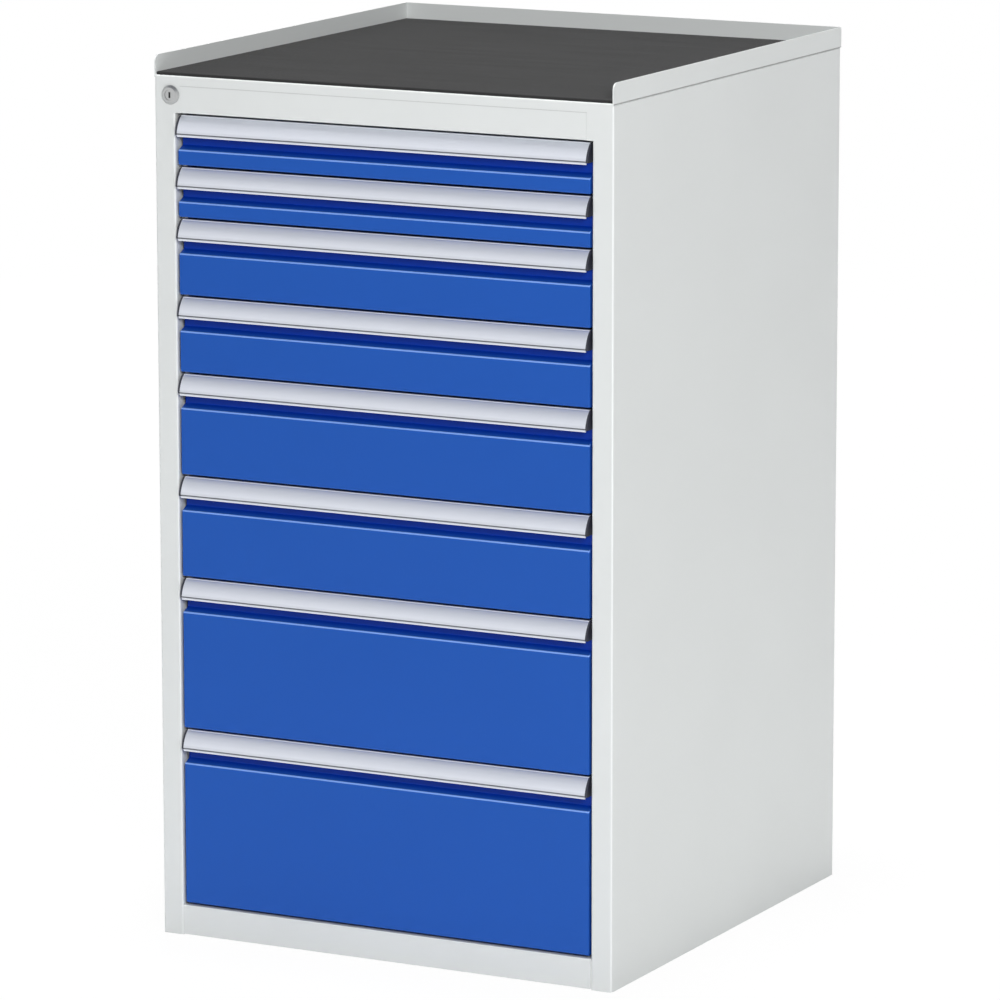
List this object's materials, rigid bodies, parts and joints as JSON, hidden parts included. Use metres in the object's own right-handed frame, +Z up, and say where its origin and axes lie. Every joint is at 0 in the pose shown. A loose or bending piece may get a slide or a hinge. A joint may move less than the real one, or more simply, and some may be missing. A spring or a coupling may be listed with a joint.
{
  "type": "modular drawer cabinet",
  "caption": "Grey steel drawer cabinet with blue drawer fronts, full-width handles, a central lock and a rimmed top tray.",
  "frame": {"origin": "middle of the floor rectangle under the whole object, handles and tray rims included", "axes": "+Z up; the drawers open along -Y; +X to the right of someone who stands before the fronts"},
  "size_m": [0.58, 0.6072, 1.024],
  "materials": {
    "housing_paint": "satin",
    "front_paint": "satin",
    "box_paint": "satin",
    "zinc_steel": "satin",
    "handle_aluminium": "anodised",
    "dark_plastic": "matte",
    "mat_rubber": "matte",
    "lock_metal": "satin"
  },
  "bodies": {
    "housing": {"side_panel_right": "housing_paint", "side_panel_left": "housing_paint", "back_panel": "housing_paint", "base_panel": "housing_paint", "top_panel": "housing_paint", "top_tray": "housing_paint", "ribbed_mat": "mat_rubber", "slotted_posts": "zinc_steel", "cabinet_runners": "zinc_steel", "lock_housing": "lock_metal"},
    "drawer_1": {"drawer_1_box": "box_paint", "drawer_1_front": "front_paint", "drawer_1_handle": "handle_aluminium", "drawer_1_handle_caps": "dark_plastic", "drawer_1_runner": "zinc_steel"},
    "slide_1": {"slide_1_middle": "zinc_steel"},
    "drawer_2": {"drawer_2_box": "box_paint", "drawer_2_front": "front_paint", "drawer_2_handle": "handle_aluminium", "drawer_2_handle_caps": "dark_plastic", "drawer_2_runner": "zinc_steel"},
    "slide_2": {"slide_2_middle": "zinc_steel"},
    "drawer_3": {"drawer_3_box": "box_paint", "drawer_3_front": "front_paint", "drawer_3_handle": "handle_aluminium", "drawer_3_handle_caps": "dark_plastic", "drawer_3_runner": "zinc_steel"},
    "slide_3": {"slide_3_middle": "zinc_steel"},
    "drawer_4": {"drawer_4_box": "box_paint", "drawer_4_front": "front_paint", "drawer_4_handle": "handle_aluminium", "drawer_4_handle_caps": "dark_plastic", "drawer_4_runner": "zinc_steel"},
    "slide_4": {"slide_4_middle": "zinc_steel"},
    "drawer_5": {"drawer_5_box": "box_paint", "drawer_5_front": "front_paint", "drawer_5_handle": "handle_aluminium", "drawer_5_handle_caps": "dark_plastic", "drawer_5_runner": "zinc_steel"},
    "slide_5": {"slide_5_middle": "zinc_steel"},
    "drawer_6": {"drawer_6_box": "box_paint", "drawer_6_front": "front_paint", "drawer_6_handle": "handle_aluminium", "drawer_6_handle_caps": "dark_plastic", "drawer_6_runner": "zinc_steel"},
    "slide_6": {"slide_6_middle": "zinc_steel"},
    "drawer_7": {"drawer_7_box": "box_paint", "drawer_7_front": "front_paint", "drawer_7_handle": "handle_aluminium", "drawer_7_handle_caps": "dark_plastic", "drawer_7_runner": "zinc_steel"},
    "slide_7": {"slide_7_middle": "zinc_steel"},
    "drawer_8": {"drawer_8_box": "box_paint", "drawer_8_front": "front_paint", "drawer_8_handle": "handle_aluminium", "drawer_8_handle_caps": "dark_plastic", "drawer_8_runner": "zinc_steel"},
    "slide_8": {"slide_8_middle": "zinc_steel"},
    "lock_plug": {"lock_plug": "lock_metal"},
    "lock_bar": {"lock_bar": "zinc_steel"}
  },
  "joints": [
    {"name": "drawer_1_slide", "type": "slide", "parent": "housing", "child": "drawer_1", "axis": [0, -1, 0], "range_m": [0, 0.55]},
    {"name": "slide_1_slide", "type": "slide", "parent": "housing", "child": "slide_1", "axis": [0, -1, 0], "range_m": [0, 0.275]},
    {"name": "drawer_2_slide", "type": "slide", "parent": "housing", "child": "drawer_2", "axis": [0, -1, 0], "range_m": [0, 0.55]},
    {"name": "slide_2_slide", "type": "slide", "parent": "housing", "child": "slide_2", "axis": [0, -1, 0], "range_m": [0, 0.275]},
    {"name": "drawer_3_slide", "type": "slide", "parent": "housing", "child": "drawer_3", "axis": [0, -1, 0], "range_m": [0, 0.55]},
    {"name": "slide_3_slide", "type": "slide", "parent": "housing", "child": "slide_3", "axis": [0, -1, 0], "range_m": [0, 0.275]},
    {"name": "drawer_4_slide", "type": "slide", "parent": "housing", "child": "drawer_4", "axis": [0, -1, 0], "range_m": [0, 0.55]},
    {"name": "slide_4_slide", "type": "slide", "parent": "housing", "child": "slide_4", "axis": [0, -1, 0], "range_m": [0, 0.275]},
    {"name": "drawer_5_slide", "type": "slide", "parent": "housing", "child": "drawer_5", "axis": [0, -1, 0], "range_m": [0, 0.55]},
    {"name": "slide_5_slide", "type": "slide", "parent": "housing", "child": "slide_5", "axis": [0, -1, 0], "range_m": [0, 0.275]},
    {"name": "drawer_6_slide", "type": "slide", "parent": "housing", "child": "drawer_6", "axis": [0, -1, 0], "range_m": [0, 0.55]},
    {"name": "slide_6_slide", "type": "slide", "parent": "housing", "child": "slide_6", "axis": [0, -1, 0], "range_m": [0, 0.275]},
    {"name": "drawer_7_slide", "type": "slide", "parent": "housing", "child": "drawer_7", "axis": [0, -1, 0], "range_m": [0, 0.55]},
    {"name": "slide_7_slide", "type": "slide", "parent": "housing", "child": "slide_7", "axis": [0, -1, 0], "range_m": [0, 0.275]},
    {"name": "drawer_8_slide", "type": "slide", "parent": "housing", "child": "drawer_8", "axis": [0, -1, 0], "range_m": [0, 0.55]},
    {"name": "slide_8_slide", "type": "slide", "parent": "housing", "child": "slide_8", "axis": [0, -1, 0], "range_m": [0, 0.275]},
    {"name": "lock_bar_slide", "type": "slide", "parent": "housing", "child": "lock_bar", "axis": [0, 0, 1], "range_m": [-0.01414, 0]},
    {"name": "lock_plug_turn", "type": "hinge", "parent": "housing", "child": "lock_plug", "pos_m": [-0.269, -0.29, 0.9796], "axis": [0, -1, 0], "range_deg": [0, 90]}
  ],
  "couplings": [
    {"joint": "slide_1_slide", "follows": "drawer_1_slide", "ratio": 0.5},
    {"joint": "slide_2_slide", "follows": "drawer_2_slide", "ratio": 0.5},
    {"joint": "slide_3_slide", "follows": "drawer_3_slide", "ratio": 0.5},
    {"joint": "slide_4_slide", "follows": "drawer_4_slide", "ratio": 0.5},
    {"joint": "slide_5_slide", "follows": "drawer_5_slide", "ratio": 0.5},
    {"joint": "slide_6_slide", "follows": "drawer_6_slide", "ratio": 0.5},
    {"joint": "slide_7_slide", "follows": "drawer_7_slide", "ratio": 0.5},
    {"joint": "slide_8_slide", "follows": "drawer_8_slide", "ratio": 0.5},
    {"joint": "lock_plug_turn", "follows": "lock_bar_slide", "rad_per_m": -111.07}
  ]
}
